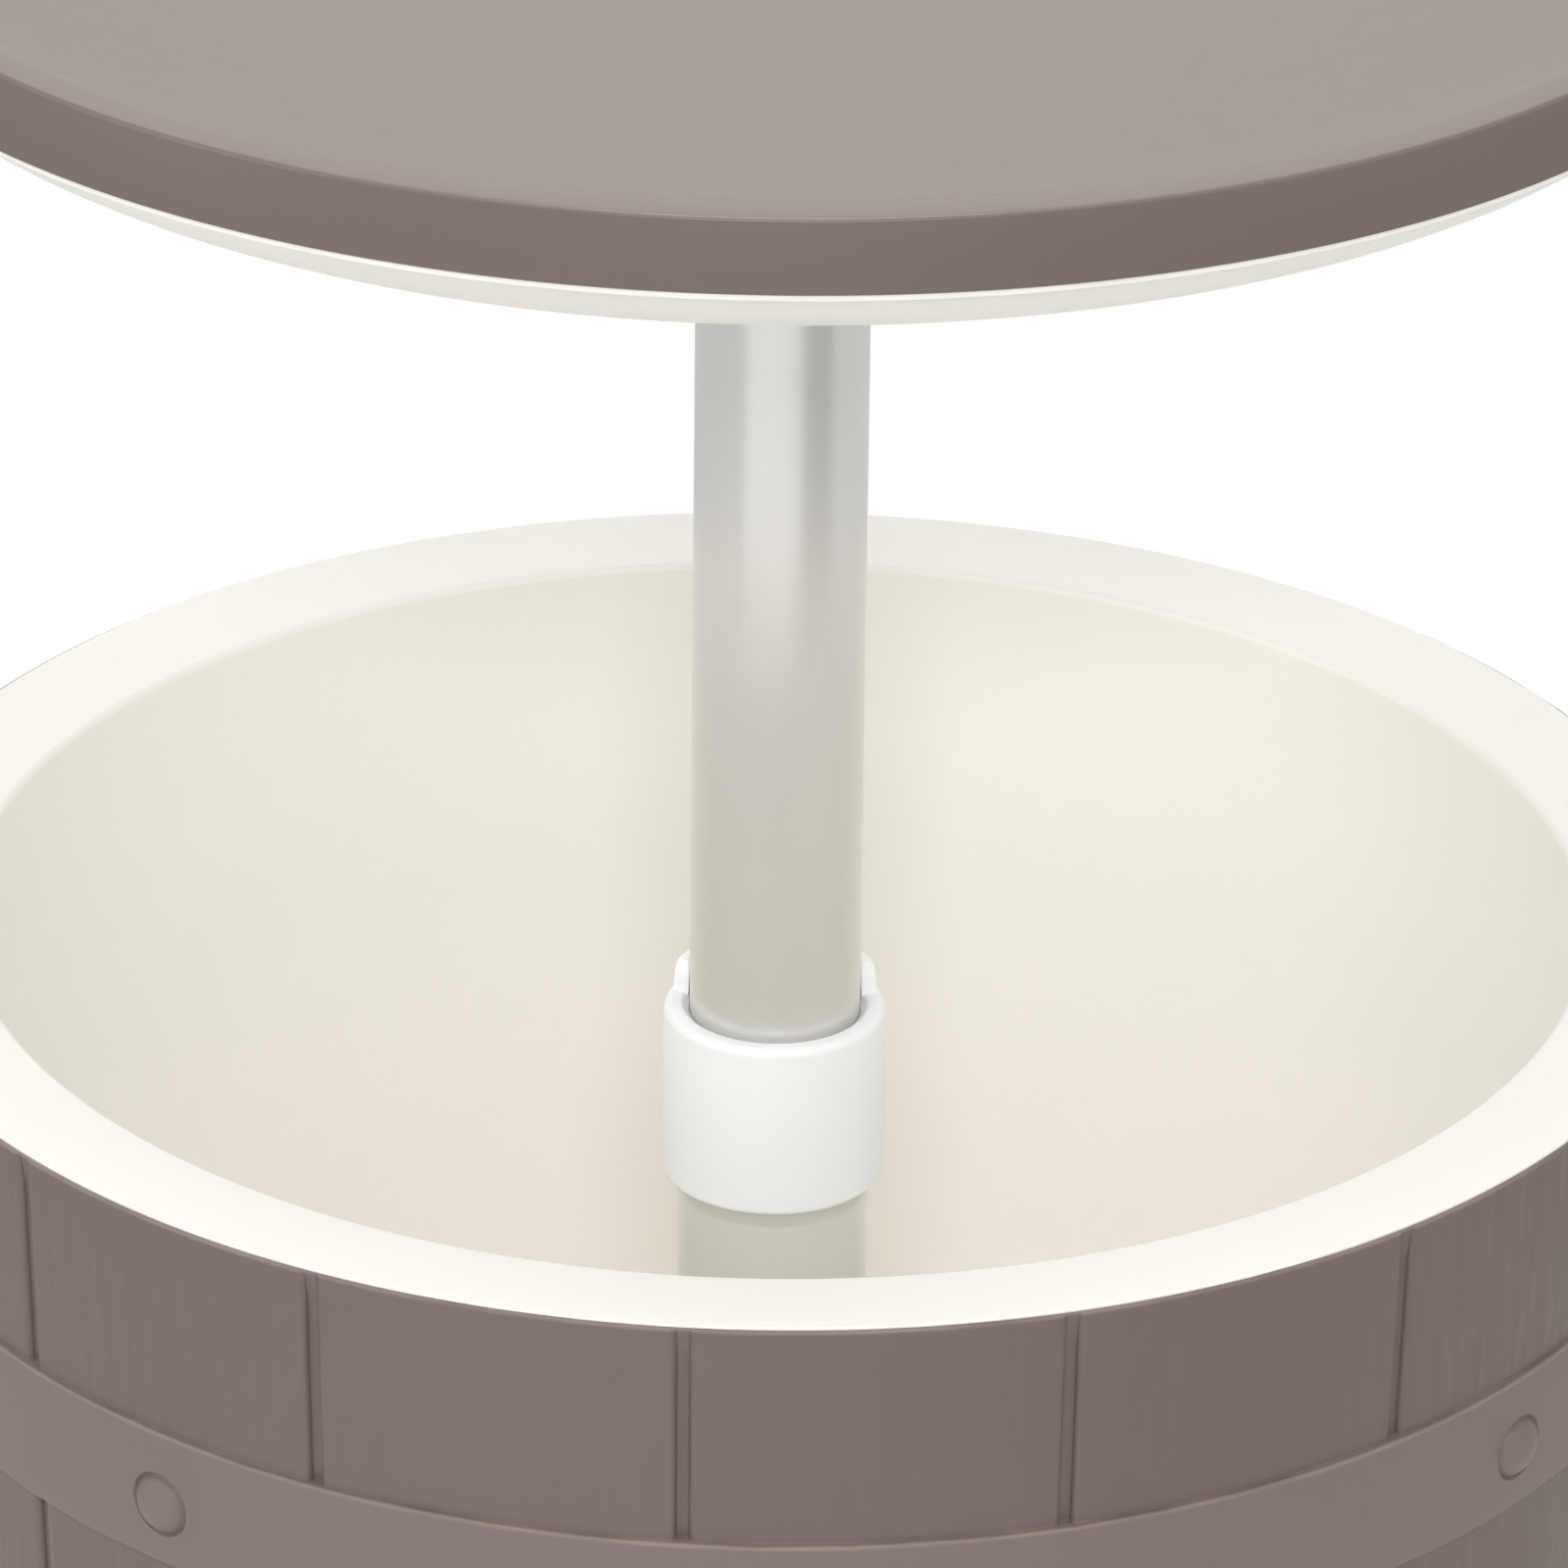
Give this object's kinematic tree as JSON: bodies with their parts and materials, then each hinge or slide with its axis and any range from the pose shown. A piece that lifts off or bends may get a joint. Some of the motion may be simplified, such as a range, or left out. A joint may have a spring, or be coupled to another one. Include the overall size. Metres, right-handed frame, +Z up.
{
  "type": "cooler table with lid",
  "caption": "Round barrel-shaped patio table with an ice basin inside; its tabletop is the lid and slides up and down on a two-part central pole held by a twist clamp",
  "frame": {"origin": "on the ground under the middle of the pole", "axes": "+Z up along the pole, +X towards the drain through the groove between two staves"},
  "size_m": [0.498, 0.498, 0.8294],
  "materials": {
    "taupe_plastic": "fine vertical wood grain, matte",
    "white_plastic": "smooth satin",
    "grey_plastic": "matte",
    "aluminium_tube": "satin anodised",
    "dark_rubber": "matte",
    "zinc_steel": "zinc plated"
  },
  "bodies": {
    "tub": {"outer_shell": "taupe_plastic", "cooler_liner": "white_plastic", "base_plate": "grey_plastic", "base_screws": "zinc_steel", "rubber_feet": "dark_rubber", "outer_tube": "aluminium_tube", "tube_foot_plug": "grey_plastic", "foot_bolt": "zinc_steel", "foot_washer": "zinc_steel", "tube_seal": "dark_rubber", "clamp_collet": "grey_plastic", "drain_fitting": "white_plastic", "drain_washer": "dark_rubber", "drain_nut": "white_plastic", "drain_pipe": "white_plastic"},
    "collar": {"lock_collar": "white_plastic"},
    "bush": {"guide_bush": "grey_plastic"},
    "tabletop": {"table_top": "taupe_plastic", "lid_underside": "white_plastic", "inner_tube": "aluminium_tube", "top_socket": "grey_plastic", "socket_pin": "zinc_steel", "socket_screws": "zinc_steel", "lid_screws": "zinc_steel", "pole_end_plug": "grey_plastic", "bush_ring": "zinc_steel"},
    "stopper": {"drain_plug": "dark_rubber"}
  },
  "joints": [
    {"name": "pole_lift", "type": "slide", "parent": "tub", "child": "bush", "axis": [0, 0, 1], "range_m": [-0.2525, 0]},
    {"name": "top_turn", "type": "hinge", "parent": "bush", "child": "tabletop", "pos_m": [0, 0, 0.43], "axis": [0, 0, 1], "continuous": true},
    {"name": "collar_turn", "type": "hinge", "parent": "tub", "child": "collar", "pos_m": [0, 0, 0.48], "axis": [0, 0, 1], "range_deg": [0, 90]},
    {"name": "drain_plug_pull", "type": "slide", "parent": "tub", "child": "stopper", "axis": [0, 0, 1], "range_m": [0, 0.06]}
  ]
}
